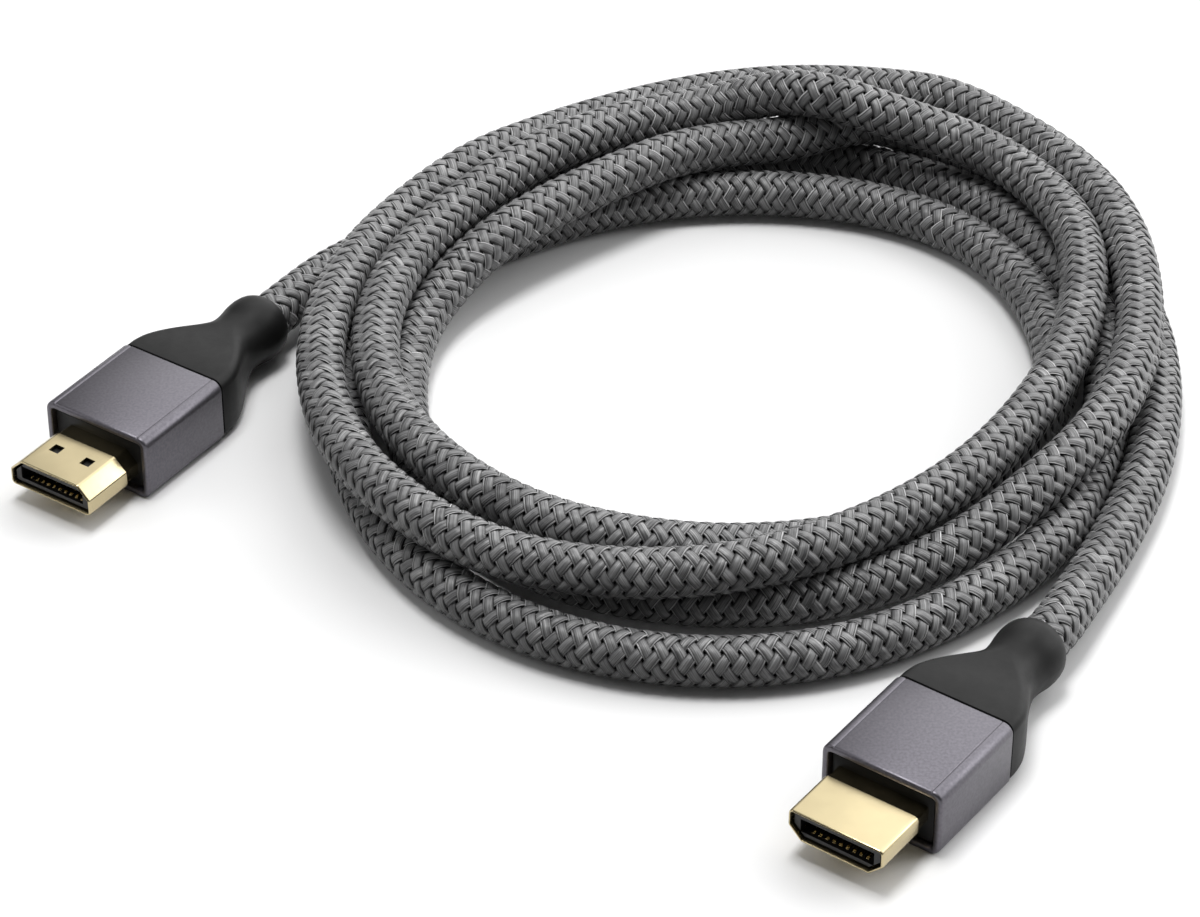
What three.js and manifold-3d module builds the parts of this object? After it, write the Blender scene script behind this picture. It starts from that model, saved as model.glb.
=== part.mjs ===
// A coiled video cable: one round coil of braided cord with a plug on each end.
// Each plug is a gold D-shaped shell with its contacts, a metal sleeve to grip,
// and a soft black boot that the cord comes out of.
// Millimetres, +Z up. The origin is on the floor, in the middle of the two plugs.

import * as THREE from 'three';
import { mergeVertices } from 'three/addons/utils/BufferGeometryUtils.js';
import Module from 'manifold-3d';

const wasm = await Module();
wasm.setup();

// Clearances. Pieces that are pressed or moulded together keep FIT_GAP.
const FIT_GAP = 0.3;
const CONTACT_GAP = 0.12;

// The plug shell, folded from sheet metal, a D with one narrow side.
const SHELL_WIDTH = 13.9;
const SHELL_HEIGHT = 4.45;
const SHELL_WALL = 0.3;
const SHELL_REACH = 10.1;
const SHELL_ROOT = 6;
const SHELL_SLANT_WIDTH = 1.95;
const SHELL_SLANT_HEIGHT = 1.9;
const SHELL_CORNER = 0.6;

// The band where the shell leaves the sleeve is a little smaller than the rest.
const BAND_LENGTH = 2;
const BAND_STEP = 0.25;

// Two square windows in the narrow side, which a socket's springs catch.
const WINDOW_SIZE = 1.6;
const WINDOW_PLACE = 5.1;
const WINDOW_SPACING = 5.4;

// The black insulator inside the shell, and the slot that a socket's tongue fills.
const SLOT_HEIGHT = 2;
const SLOT_SIDE_WALL = 1;
const SLOT_DEPTH = 9.2;
const MOUTH_RECESS = 0.5;

// The contacts: a row under the wide side, and a row of one less facing it.
const CONTACTS_WIDE_ROW = 10;
const CONTACT_PITCH = 1;
const CONTACT_WIDTH = 0.5;
const CONTACT_THICKNESS = 0.25;
const CONTACT_SETBACK = 0.7;
const CONTACT_PROUD = 0.05;
const CONTACT_ROOT = 1;

// The metal sleeve that is gripped.
const SLEEVE_WIDTH = 17.7;
const SLEEVE_HEIGHT = 10;
const SLEEVE_LENGTH = 16.8;
const SLEEVE_WALL = 1;
const SLEEVE_EDGE = 1.7;

// The moulded boot: a core inside the sleeve, a taper, and a collar round the cord.
const BOOT_RECESS = 0.6;
const TAPER_LENGTH = 13.5;
const NECK_WIDTH = 8.7;
const NECK_HEIGHT = 8.6;
const COLLAR_LENGTH = 7.3;
const COLLAR_DIAMETER = 9.7;
const MOUTH_DIAMETER = 8.2;

// The braided cord and its coil: two layers, some strands wide, in a slightly long ring.
const CORD_DIAMETER = 7;
const COIL_LAYERS = 2;
const COIL_STRANDS_WIDE = 3.3;
const COIL_MIDDLE_RADIUS = 52;
const COIL_EDGE = 6;
const COIL_STRETCH = 1.05;
const COIL_CENTRE = [30.24, 46.6];

// Where each plug lies: the middle of its sleeve's front face, and its heading.
const PLUG_A_FACE = [-59.06, 25.7];
const PLUG_A_HEADING = 235.8;
const PLUG_B_FACE = [44.84, -47.1];
const PLUG_B_HEADING = 233.9;

// The free cord from each boot into the coil, after its first straight stretch.
const LEAD_STRAIGHT = 5;
const LEAD_A_POINTS = [[-29.1, 68.8], [-19.6, 80.8], [-7.1, 91.3]];
const LEAD_B_POINTS = [[73.9, -1.7], [79.4, 12.3], [81.9, 27.3]];

// How finely round shapes are cut into flats.
const ARC_STEPS = 4;
const SECTION_STEPS = 5;
const TAPER_STEPS = 7;
const COLLAR_STEPS = 6;
const COIL_STEPS = 56;
const CORD_SIDES = 12;

const degrees = Math.PI / 180;
const mix = THREE.MathUtils.lerp;

// Materials, one for each finish.
const finishes = {
  gold: { color: 0xd9bd74, metalness: 1, roughness: 0.28 },
  black_plastic: { color: 0x141414, metalness: 0, roughness: 0.45 },
  grey_metal: { color: 0x77737d, metalness: 0.85, roughness: 0.45 },
  soft_black: { color: 0x262626, metalness: 0, roughness: 0.6 },
  braid: { color: 0x4d4d50, metalness: 0, roughness: 0.85 },
};

function piece(name, geometry, finish) {
  const mesh = new THREE.Mesh(geometry, new THREE.MeshStandardMaterial(finishes[finish]));
  mesh.name = name;
  return mesh;
}

// A closed geometry as a solid that can be joined and cut.
function solidOf(geometry) {
  const bare = geometry.clone();
  bare.deleteAttribute('normal');
  bare.deleteAttribute('uv');
  const merged = mergeVertices(bare, 1e-4);
  return new wasm.Manifold(new wasm.Mesh({
    numProp: 3,
    vertProperties: new Float32Array(merged.attributes.position.array),
    triVerts: new Uint32Array(merged.index.array),
  }));
}

function geometryOf(solid) {
  const mesh = solid.getMesh();
  const geometry = new THREE.BufferGeometry();
  geometry.setAttribute('position', new THREE.BufferAttribute(mesh.vertProperties, 3));
  geometry.setIndex(new THREE.BufferAttribute(mesh.triVerts, 1));
  geometry.computeVertexNormals();
  return geometry;
}

// Inside a plug, x points out of the socket end, y to the side and z up, with the
// sleeve's front face at x = 0 and the plug's axis at z = 0.
function alongPlug(shape, from, to) {
  const geometry = new THREE.ExtrudeGeometry(shape, {
    depth: to - from,
    bevelEnabled: false,
    curveSegments: ARC_STEPS,
  });
  const sideways = new THREE.Vector3(0, 1, 0);
  const upward = new THREE.Vector3(0, 0, 1);
  const outward = new THREE.Vector3(1, 0, 0);
  geometry.translate(0, 0, from);
  geometry.applyMatrix4(new THREE.Matrix4().makeBasis(sideways, upward, outward));
  return geometry;
}

function block(x0, x1, y0, y1, z0, z1) {
  const geometry = new THREE.BoxGeometry(x1 - x0, y1 - y0, z1 - z0);
  return geometry.translate((x0 + x1) / 2, (y0 + y1) / 2, (z0 + z1) / 2);
}

// The shell's D, its narrow side on top, with every side moved in by inset.
function shellShape(inset) {
  const bottom = -SHELL_HEIGHT / 2 + inset;
  const top = SHELL_HEIGHT / 2 - inset;
  const side = SHELL_WIDTH / 2 - inset;
  const slant = Math.hypot(SHELL_SLANT_WIDTH, SHELL_SLANT_HEIGHT);
  const leanY = SHELL_SLANT_HEIGHT / slant;
  const leanZ = SHELL_SLANT_WIDTH / slant;
  const shoulder = SHELL_HEIGHT / 2 - SHELL_SLANT_HEIGHT;
  const reach = leanY * SHELL_WIDTH / 2 + leanZ * shoulder - inset;
  const shoulderZ = (reach - leanY * side) / leanZ;
  const topY = (reach - leanZ * top) / leanY;
  const corner = Math.max(SHELL_CORNER - inset, 0.1);
  const shape = new THREE.Shape();
  shape.moveTo(-topY, top);
  shape.lineTo(-side, shoulderZ);
  shape.lineTo(-side, bottom + corner);
  shape.absarc(-side + corner, bottom + corner, corner, Math.PI, 1.5 * Math.PI);
  shape.absarc(side - corner, bottom + corner, corner, 1.5 * Math.PI, 2 * Math.PI);
  shape.lineTo(side, shoulderZ);
  shape.lineTo(topY, top);
  shape.closePath();
  return shape;
}

function shellSolid() {
  const band = BAND_STEP;
  const front = solidOf(alongPlug(shellShape(0), BAND_LENGTH, SHELL_REACH));
  const root = solidOf(alongPlug(shellShape(band), -SHELL_ROOT, BAND_LENGTH + SHELL_WALL));
  const hollow = solidOf(alongPlug(shellShape(SHELL_WALL), BAND_LENGTH + SHELL_WALL, SHELL_REACH + 1));
  const inner = shellShape(band + SHELL_WALL);
  const through = solidOf(alongPlug(inner, -SHELL_ROOT - 1, SHELL_REACH + 1));
  let shell = front.add(root).subtract(hollow).subtract(through);
  for (const side of [-1, 1]) {
    const middle = side * WINDOW_SPACING / 2;
    const half = WINDOW_SIZE / 2;
    const window = block(
      WINDOW_PLACE - half, WINDOW_PLACE + half, middle - half, middle + half, 0, SHELL_HEIGHT);
    shell = shell.subtract(solidOf(window));
  }
  return shell;
}

// The contacts' places: which row they are in, and how far to the side.
function contactPlaces() {
  const places = [];
  for (const [row, count] of [['wide', CONTACTS_WIDE_ROW], ['narrow', CONTACTS_WIDE_ROW - 1]]) {
    for (let i = 0; i < count; i += 1) {
      places.push({ row, number: i + 1, y: (i - (count - 1) / 2) * CONTACT_PITCH });
    }
  }
  return places;
}

// A contact bar, or the groove round it when grown by the contact's clearance.
function contactBlock(place, grow) {
  const back = SHELL_REACH - MOUTH_RECESS - SLOT_DEPTH - CONTACT_ROOT;
  const front = SHELL_REACH - MOUTH_RECESS - CONTACT_SETBACK;
  const inner = SLOT_HEIGHT / 2 - CONTACT_PROUD;
  const outer = inner + CONTACT_THICKNESS;
  const low = place.row === 'wide' ? -outer : inner;
  const high = place.row === 'wide' ? -inner : outer;
  const half = CONTACT_WIDTH / 2;
  return block(
    back - grow, front + grow,
    place.y - half - grow, place.y + half + grow,
    low - grow, high + grow);
}

function insulatorSolid() {
  const outline = shellShape(BAND_STEP + SHELL_WALL + CONTACT_GAP);
  const front = SHELL_REACH - MOUTH_RECESS;
  let body = solidOf(alongPlug(outline, -SHELL_ROOT, front));
  const half = SHELL_WIDTH / 2 - BAND_STEP - SHELL_WALL - SLOT_SIDE_WALL;
  const slot = block(front - SLOT_DEPTH, front + 1, -half, half, -SLOT_HEIGHT / 2, SLOT_HEIGHT / 2);
  body = body.subtract(solidOf(slot));
  for (const place of contactPlaces()) {
    body = body.subtract(solidOf(contactBlock(place, CONTACT_GAP)));
  }
  return body;
}

// A rectangle with round corners, as points that always start at the same corner.
function roundedPoints(width, height, radius) {
  const points = [];
  const across = width / 2 - radius;
  const up = height / 2 - radius;
  const corners = [[across, up], [-across, up], [-across, -up], [across, -up]];
  corners.forEach(([y, z], corner) => {
    for (let i = 0; i <= SECTION_STEPS; i += 1) {
      const angle = (corner + i / SECTION_STEPS) * Math.PI / 2;
      points.push(new THREE.Vector2(y + radius * Math.cos(angle), z + radius * Math.sin(angle)));
    }
  });
  return points;
}

function roundedShape(width, height, radius) {
  return new THREE.Shape(roundedPoints(width, height, radius));
}

function sleeveSolid() {
  const outer = roundedShape(SLEEVE_WIDTH, SLEEVE_HEIGHT, SLEEVE_EDGE);
  const bore = roundedShape(
    SLEEVE_WIDTH - 2 * SLEEVE_WALL, SLEEVE_HEIGHT - 2 * SLEEVE_WALL,
    Math.max(SLEEVE_EDGE - SLEEVE_WALL, 0.2));
  const body = solidOf(alongPlug(outer, -SLEEVE_LENGTH, 0));
  return body.subtract(solidOf(alongPlug(bore, -SLEEVE_LENGTH - 1, 1)));
}

// A skin over sections along the plug's axis, with a flat cap on each end.
function loft(sections) {
  const positions = [];
  const rings = sections.map(({ x, width, height, radius }) => {
    const ring = [];
    for (const point of roundedPoints(width, height, radius)) {
      ring.push(positions.length / 3);
      positions.push(x, point.x, point.y);
    }
    return ring;
  });
  const faces = [];
  const count = rings[0].length;
  for (let s = 0; s + 1 < rings.length; s += 1) {
    for (let i = 0; i < count; i += 1) {
      const j = (i + 1) % count;
      faces.push(rings[s][i], rings[s][j], rings[s + 1][j]);
      faces.push(rings[s][i], rings[s + 1][j], rings[s + 1][i]);
    }
  }
  const last = rings[rings.length - 1];
  for (let i = 1; i + 1 < count; i += 1) {
    faces.push(rings[0][0], rings[0][i + 1], rings[0][i]);
    faces.push(last[0], last[i], last[i + 1]);
  }
  const geometry = new THREE.BufferGeometry();
  geometry.setAttribute('position', new THREE.Float32BufferAttribute(positions, 3));
  geometry.setIndex(faces);
  return geometry;
}

// The boot behind the sleeve, from its mouth forward to the sleeve's rear end.
const BOOT_TOP = -SLEEVE_LENGTH - FIT_GAP;
const BOOT_NECK = BOOT_TOP - TAPER_LENGTH;
const BOOT_MOUTH = BOOT_NECK - COLLAR_LENGTH;

function bootSections() {
  const sections = [];
  for (let i = 0; i <= COLLAR_STEPS; i += 1) {
    const t = i / COLLAR_STEPS;
    const rise = Math.sin(Math.min(t / 0.45, 1) * Math.PI / 2);
    const fall = THREE.MathUtils.smoothstep(t, 0.45, 1);
    const width = mix(mix(MOUTH_DIAMETER, COLLAR_DIAMETER, rise), NECK_WIDTH, fall);
    const height = mix(mix(MOUTH_DIAMETER, COLLAR_DIAMETER, rise), NECK_HEIGHT, fall);
    const radius = Math.min(width, height) / 2 - 0.05;
    sections.push({ x: mix(BOOT_MOUTH, BOOT_NECK, t), width, height, radius });
  }
  for (let i = 1; i <= TAPER_STEPS; i += 1) {
    const t = i / TAPER_STEPS;
    const spread = THREE.MathUtils.smoothstep(t, 0, 1);
    const width = mix(NECK_WIDTH, SLEEVE_WIDTH, spread);
    const height = mix(NECK_HEIGHT, SLEEVE_HEIGHT, spread);
    const radius = mix(Math.min(NECK_WIDTH, NECK_HEIGHT) / 2 - 0.05, SLEEVE_EDGE, spread);
    sections.push({ x: mix(BOOT_NECK, BOOT_TOP, t), width, height, radius });
  }
  return sections;
}

function bootSolid() {
  const coreInset = 2 * (SLEEVE_WALL + FIT_GAP);
  const core = roundedShape(SLEEVE_WIDTH - coreInset, SLEEVE_HEIGHT - coreInset, 0.5);
  const pocket = shellShape(BAND_STEP - FIT_GAP);
  const inside = solidOf(alongPlug(core, BOOT_TOP - 1, -BOOT_RECESS));
  const outside = solidOf(loft(bootSections()));
  return outside.add(inside).subtract(solidOf(alongPlug(pocket, -SHELL_ROOT - FIT_GAP, 1)));
}

// A whole plug, set down with its axis half a sleeve above the floor. Turned over,
// the shell's wide side is on top.
function plug(name, face, heading, turnedOver) {
  const group = new THREE.Group();
  group.position.set(face[0], face[1], SLEEVE_HEIGHT / 2);
  group.rotation.set(turnedOver ? Math.PI : 0, 0, heading * degrees, 'ZYX');
  group.add(piece(`${name}_shell`, geometryOf(shellSolid()), 'gold'));
  group.add(piece(`${name}_insulator`, geometryOf(insulatorSolid()), 'black_plastic'));
  for (const place of contactPlaces()) {
    const contact = `${name}_contact_${place.row}_${place.number}`;
    group.add(piece(contact, contactBlock(place, 0), 'gold'));
  }
  group.add(piece(`${name}_sleeve`, geometryOf(sleeveSolid()), 'grey_metal'));
  group.add(piece(`${name}_boot`, geometryOf(bootSolid()), 'soft_black'));
  return group;
}

// The coil's outer shape: a ring with a flat foot and round edges, grown by a gap
// where the leads are cut back from it.
function coilGeometry(gap) {
  const width = COIL_STRANDS_WIDE * CORD_DIAMETER + 2 * gap;
  const height = COIL_LAYERS * CORD_DIAMETER + gap;
  const foot = -gap;
  const inner = COIL_MIDDLE_RADIUS - width / 2;
  const outer = COIL_MIDDLE_RADIUS + width / 2;
  const edge = COIL_EDGE;
  const corners = [
    [outer - edge, foot + edge, -90],
    [outer - edge, height - edge, 0],
    [inner + edge, height - edge, 90],
    [inner + edge, foot + edge, 180],
  ];
  const profile = [];
  for (const [radius, level, start] of corners) {
    for (let i = 0; i <= ARC_STEPS; i += 1) {
      const angle = (start + i * 90 / ARC_STEPS) * degrees;
      profile.push(new THREE.Vector2(radius + edge * Math.cos(angle), level + edge * Math.sin(angle)));
    }
  }
  profile.push(profile[0].clone());
  const geometry = new THREE.LatheGeometry(profile, COIL_STEPS);
  geometry.rotateX(Math.PI / 2);
  geometry.scale(1, COIL_STRETCH, 1);
  return geometry.translate(COIL_CENTRE[0], COIL_CENTRE[1], 0);
}

// A lead leaves the boot's mouth along the plug's axis, sinks to the floor and runs
// into the coil, where it is cut back to the coil's face.
function leadSolid(face, heading, points) {
  const away = new THREE.Vector3(-Math.cos(heading * degrees), -Math.sin(heading * degrees), 0);
  const start = new THREE.Vector3(face[0], face[1], SLEEVE_HEIGHT / 2);
  start.addScaledVector(away, FIT_GAP - BOOT_MOUTH);
  const route = [start, start.clone().addScaledVector(away, LEAD_STRAIGHT)];
  points.forEach(([x, y], i) => {
    const sunk = (i + 1) / points.length;
    route.push(new THREE.Vector3(x, y, mix(SLEEVE_HEIGHT / 2, CORD_DIAMETER / 2, sunk)));
  });
  const curve = new THREE.CatmullRomCurve3(route, false, 'centripetal');
  const section = new THREE.Shape();
  for (let i = 0; i < CORD_SIDES; i += 1) {
    const angle = (i + 0.5) * 2 * Math.PI / CORD_SIDES;
    const corner = [CORD_DIAMETER / 2 * Math.cos(angle), CORD_DIAMETER / 2 * Math.sin(angle)];
    if (i === 0) {
      section.moveTo(...corner);
    } else {
      section.lineTo(...corner);
    }
  }
  section.closePath();
  const steps = Math.round(curve.getLength() / CORD_DIAMETER);
  const tube = new THREE.ExtrudeGeometry(section, { steps, extrudePath: curve });
  return solidOf(tube).subtract(solidOf(coilGeometry(FIT_GAP)));
}

const cable = new THREE.Group();
cable.add(plug('plug_a', PLUG_A_FACE, PLUG_A_HEADING, false));
cable.add(plug('plug_b', PLUG_B_FACE, PLUG_B_HEADING, true));
cable.add(piece('cable_lead_a', geometryOf(leadSolid(PLUG_A_FACE, PLUG_A_HEADING, LEAD_A_POINTS)), 'braid'));
cable.add(piece('cable_coil', coilGeometry(0), 'braid'));
cable.add(piece('cable_lead_b', geometryOf(leadSolid(PLUG_B_FACE, PLUG_B_HEADING, LEAD_B_POINTS)), 'braid'));

export default cable;
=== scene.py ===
# %% [markdown]
# A coiled video cable on a studio floor.
# The cable is one braided cord, wound by hand into a loose coil, with a plug on each end.
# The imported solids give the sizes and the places. This script keeps them and makes every
# visible surface finer: a real braid, folded gold shells, anodised sleeves, soft boots.

# %% Open the frame
import math

import bpy
import numpy as np
from mathutils import Matrix, Vector


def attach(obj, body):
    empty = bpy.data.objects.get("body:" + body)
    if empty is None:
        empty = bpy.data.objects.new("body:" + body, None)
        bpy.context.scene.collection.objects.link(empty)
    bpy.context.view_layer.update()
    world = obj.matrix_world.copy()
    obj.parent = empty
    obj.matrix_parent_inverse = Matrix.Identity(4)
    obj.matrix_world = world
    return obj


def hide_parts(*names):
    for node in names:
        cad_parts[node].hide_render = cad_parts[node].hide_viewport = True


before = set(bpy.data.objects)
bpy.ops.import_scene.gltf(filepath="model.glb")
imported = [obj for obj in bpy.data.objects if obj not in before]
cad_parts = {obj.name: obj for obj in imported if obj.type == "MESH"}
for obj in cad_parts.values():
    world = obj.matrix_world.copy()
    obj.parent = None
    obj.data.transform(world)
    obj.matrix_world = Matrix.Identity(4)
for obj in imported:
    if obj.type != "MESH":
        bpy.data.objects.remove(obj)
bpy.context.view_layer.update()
MM = 0.001

# %% [markdown]
# The camera comes first, because everything else is judged through it.
# The photograph looks down on the coil at about 37 degrees, from 0.6 m away with a long
# lens, which is why the plugs look almost the same size although one is nearer.

# %% Camera
AIM = Vector((10.14, 30.5, 0)) * MM
CAMERA_PLACE = Vector((10.14, -447.36, 356.19)) * MM
CAMERA_LENS = 128.46
SENSOR_WIDTH = 36

camera_data = bpy.data.cameras.new("camera")
camera_data.sensor_fit = "HORIZONTAL"
camera_data.sensor_width = SENSOR_WIDTH
camera_data.lens = CAMERA_LENS
camera = bpy.data.objects.new("camera", camera_data)
camera.location = CAMERA_PLACE
camera.rotation_euler = (AIM - CAMERA_PLACE).to_track_quat("-Z", "Y").to_euler()
bpy.context.scene.collection.objects.link(camera)
bpy.context.scene.camera = camera
print("camera distance in mm:", round((AIM - CAMERA_PLACE).length / MM, 1))

# %% [markdown]
# The cord's route. A coil is easiest to think of from above: at each angle round its middle
# the cord has a distance from the middle and a height. The strands were traced in the
# photograph and put back on the floor through the camera. The cord runs clockwise from the
# left plug to the right one, so the angles fall. Each list is one turn. A height of 3.5 mm is
# the middle of a cord that lies on the floor, and about 10 mm is one that lies on a strand.

# %% Stations of the coil
COIL_MIDDLE = np.array([30.24, 46.6])
CORD_DIAMETER = 7.0
ON_FLOOR = 3.5

FIRST_TURN = [
    (150, 61.5, 3.5), (135, 58, 3.5), (120, 55, 3.5), (105, 55, 3.5), (90, 56, 3.5),
    (75, 57.6, 3.5), (60, 58.8, 3.5), (45, 57, 3.5), (30, 54.3, 3.8), (15, 52.2, 4.6),
    (0, 51.7, 5.3), (-15, 52.2, 4.8), (-30, 53.5, 3.8), (-45, 56.5, 3.5), (-60, 59.2, 3.5),
    (-75, 62.8, 3.5), (-90, 65, 3.5), (-105, 65.8, 3.5), (-120, 65.2, 3.5),
    (-135, 62.8, 3.5), (-150, 59.8, 3.5), (-165, 57, 3.5), (-180, 56, 3.5)]
SECOND_TURN = [
    (165, 55.4, 3.5), (150, 51, 3.5), (135, 47.3, 3.5), (120, 46.3, 3.5), (105, 45.9, 3.5),
    (90, 45.9, 3.5), (75, 46.6, 3.5), (60, 48, 3.5), (45, 48.4, 3.5), (30, 48.2, 3.5),
    (15, 47.2, 3.5), (0, 45.4, 3.5), (-15, 43.2, 3.5), (-30, 41.7, 3.5), (-45, 41.4, 3.5),
    (-60, 41.6, 3.5), (-75, 42.5, 5), (-90, 45.5, 7), (-105, 49.5, 9.3), (-120, 51.7, 10),
    (-135, 52, 10), (-150, 52, 10), (-165, 52, 10), (-180, 52, 10)]
THIRD_TURN = [
    (165, 52.4, 10), (150, 52.4, 10.5), (135, 51.5, 11.6), (120, 53, 12), (105, 55.5, 11.5),
    (90, 57.2, 10.6), (80, 53.7, 14.6), (75, 52, 16), (65, 55, 14), (50, 61, 10.3), (45, 60, 10),
    (30, 56.4, 10), (15, 51, 10), (0, 47, 10), (-15, 44, 10), (-30, 43, 10), (-45, 43.6, 10),
    (-60, 45.4, 10), (-75, 48.6, 10), (-90, 53.4, 10), (-105, 56.5, 10), (-120, 60.4, 10),
    (-135, 61.6, 10), (-150, 61.3, 10), (-165, 60.2, 10), (-180, 58.9, 10)]
FOURTH_TURN = [
    (165, 57, 10), (150, 56, 9.8), (135, 57, 10), (120, 59, 9.3), (105, 61.5, 9.2),
    (90, 65, 9.7), (75, 67.5, 10.3), (60, 68, 10), (45, 67, 10), (30, 63, 10), (15, 58.5, 10),
    (0, 55.3, 10), (-15, 53.7, 10), (-30, 53.3, 9.7), (-45, 52.3, 8), (-60, 52, 5.5),
    (-75, 51.8, 4), (-90, 52.5, 3.5), (-105, 53.1, 3.5), (-120, 53.3, 3.5),
    (-135, 52.5, 3.5), (-150, 50.8, 3.5), (-165, 48.8, 3.5), (-180, 47.6, 3.5)]
LAST_TURN = [
    (165, 47.4, 4.5), (150, 44.3, 8.5), (135, 42.3, 10), (120, 42.8, 10), (105, 45.5, 10),
    (90, 50.8, 10.5), (80, 52.8, 10.3), (72, 57, 10), (64, 63, 6), (57, 66, 3.5), (45, 64, 3.5),
    (30, 60.5, 3.5), (15, 59.1, 3.5), (0, 58.3, 3.5), (-15, 58, 3.5), (-24.6, 59, 3.5),
    (-32, 60.3, 3.5), (-38, 61.9, 3.5), (-43, 63.6, 3.7), (-46.5, 65.3, 4), (-50, 67.2, 4.3)]
TURNS = [FIRST_TURN, SECOND_TURN, THIRD_TURN, FOURTH_TURN, LAST_TURN]

# %% [markdown]
# Each plug has a place and a heading. Inside a plug, x points out of the socket end, y to
# its side and z up, with the sleeve's front face at x = 0. The second plug lies turned over,
# with its wide side on top. The cord leaves each boot straight, along the plug's own axis.

# %% Plug places
AXIS_HEIGHT = 5.0
BOOT_MOUTH = -37.9
PLUGS = {
    "plug_a": {"face": (-59.06, 25.7), "heading": 235.8, "turned_over": False},
    "plug_b": {"face": (44.84, -47.1), "heading": 233.9, "turned_over": True},
}


def plug_matrix(plug):
    """Where a plug lies, as a matrix from its own millimetres to the frame's metres."""
    over = Matrix.Rotation(math.pi if plug["turned_over"] else 0, 4, "X")
    turned = Matrix.Rotation(math.radians(plug["heading"]), 4, "Z")
    placed = Matrix.Translation((*plug["face"], AXIS_HEIGHT))
    return Matrix.Scale(MM, 4) @ placed @ turned @ over


def behind_boot(plug, distance):
    """The point on a plug's axis that far behind its boot's mouth, in millimetres."""
    point = plug_matrix(plug) @ Vector((BOOT_MOUTH - distance, 0, 0))
    return np.array(point) / MM


# %% [markdown]
# The stations are measured points, so the line through them has small jogs that a stiff
# cord would never show. It is drawn through them as a polar line, evened with a soft
# average, and then walked at equal steps. The two straight ends are joined on last.

# %% From stations to a smooth route
ROUTE_STEP = 1.5
ANGLE_STEP = 2.0
EVEN_ANGLE = 6.5
EVEN_LENGTH = 3.0
LEAD_A_RUN = 14
LEAD_B_RUN = 4


def soft_average(values, width):
    """A running average with soft edges that keeps the two end values."""
    reach = int(3 * width)
    bell = np.exp(-0.5 * (np.arange(-reach, reach + 1) / width) ** 2)
    bell /= bell.sum()
    head = 2 * values[0] - values[reach:0:-1]
    tail = 2 * values[-1] - values[-2:-reach - 2:-1]
    padded = np.concatenate([head, values, tail])
    columns = [np.convolve(padded[:, i], bell, "valid") for i in range(values.shape[1])]
    return np.stack(columns, axis=1)


def even_steps(points, step):
    """The same line with its points at equal distances."""
    gaps = np.linalg.norm(np.diff(points, axis=0), axis=1)
    along = np.concatenate([[0], np.cumsum(gaps)])
    wanted = np.linspace(0, along[-1], int(round(along[-1] / step)) + 1)
    return np.stack([np.interp(wanted, along, points[:, i]) for i in range(3)], axis=1)


def coil_line():
    """All turns as one line in millimetres, from the first station to the last."""
    angles, distances, heights = [], [], []
    for number, turn in enumerate(TURNS):
        for angle, distance, height in turn:
            angles.append(360 * number - angle)
            distances.append(distance)
            heights.append(height)
    walk = np.arange(angles[0], angles[-1] + 0.1, ANGLE_STEP)
    polar = np.stack([np.interp(walk, angles, distances), np.interp(walk, angles, heights)], 1)
    polar = soft_average(polar, EVEN_ANGLE / ANGLE_STEP)
    turned = np.radians(-walk)
    x = COIL_MIDDLE[0] + polar[:, 0] * np.cos(turned)
    y = COIL_MIDDLE[1] + polar[:, 0] * np.sin(turned)
    return np.stack([x, y, polar[:, 1]], axis=1)


def straight_run(plug, length):
    """Points on a plug's axis, a millimetre apart, from its boot's mouth backwards."""
    return np.array([behind_boot(plug, d) for d in np.arange(0, length + 0.1, 1.0)])


route = np.concatenate([
    straight_run(PLUGS["plug_a"], LEAD_A_RUN),
    coil_line(),
    straight_run(PLUGS["plug_b"], LEAD_B_RUN)[::-1]])
route = even_steps(route, ROUTE_STEP)
route = soft_average(route, EVEN_LENGTH / ROUTE_STEP)
route = even_steps(route, ROUTE_STEP)

# %% [markdown]
# Strands that lie on each other touch but don't sink in. Each pass looks for points of
# different strands that are nearer than one cord's thickness, moves both apart, keeps all
# above the floor and evens the line a little. The ends stay in the plugs.

# %% Let the strands settle
SETTLE_PASSES = 60
NEAR_ALONG = 14
HELD_POINTS = 6
PUSH_SHARE = 0.6
PUSH_WIDTH = 2.0
EVEN_SHARE = 0.3
EVEN_WIDTH = 1.5


def other_strands(count):
    """Which pairs of points lie far apart along the cord, so on different strands."""
    index = np.arange(count)
    return np.abs(index[:, None] - index[None, :]) > NEAR_ALONG


def settle(measured, passes):
    """The measured line, with its strands moved apart until they only touch."""
    points = measured.copy()
    apart = other_strands(len(points))
    hold = np.ones(len(points))
    hold[:HELD_POINTS] = 0
    hold[-HELD_POINTS:] = 0
    for _ in range(passes):
        offset = points[:, None, :] - points[None, :, :]
        distance = np.sqrt((offset ** 2).sum(axis=2)) + 1e-9
        push = np.where(apart, np.clip(CORD_DIAMETER - distance, 0, None), 0)
        number = np.maximum((push > 0).sum(axis=1), 1)
        move = (offset / distance[:, :, None] * push[:, :, None]).sum(axis=1)
        move = PUSH_SHARE * move / number[:, None]
        moved = points + soft_average(move, PUSH_WIDTH) * hold[:, None] - measured
        moved += EVEN_SHARE * (soft_average(moved, EVEN_WIDTH) - moved) * hold[:, None]
        points = measured + moved
        points[:, 2] = np.maximum(points[:, 2], ON_FLOOR)
    return points


def nearest_strands(points):
    """How far each point is from the nearest other strand's middle."""
    distance = np.linalg.norm(points[:, None, :] - points[None, :, :], axis=2)
    return np.where(other_strands(len(points)), distance, np.inf).min(axis=1)


route = even_steps(settle(route, SETTLE_PASSES), ROUTE_STEP)
print("strand spacing, least and 5 percent:", np.percentile(nearest_strands(route), [0, 5]))
print("highest middle in mm:", round(route[:, 2].max(), 2))

# %% [markdown]
# Helpers that the rest of the script uses. One adds a node to any tree, shader or geometry,
# and fills or wires its sockets. Another turns points and faces into a piece, and another
# keeps what a piece's modifiers make of it as a plain mesh.

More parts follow.
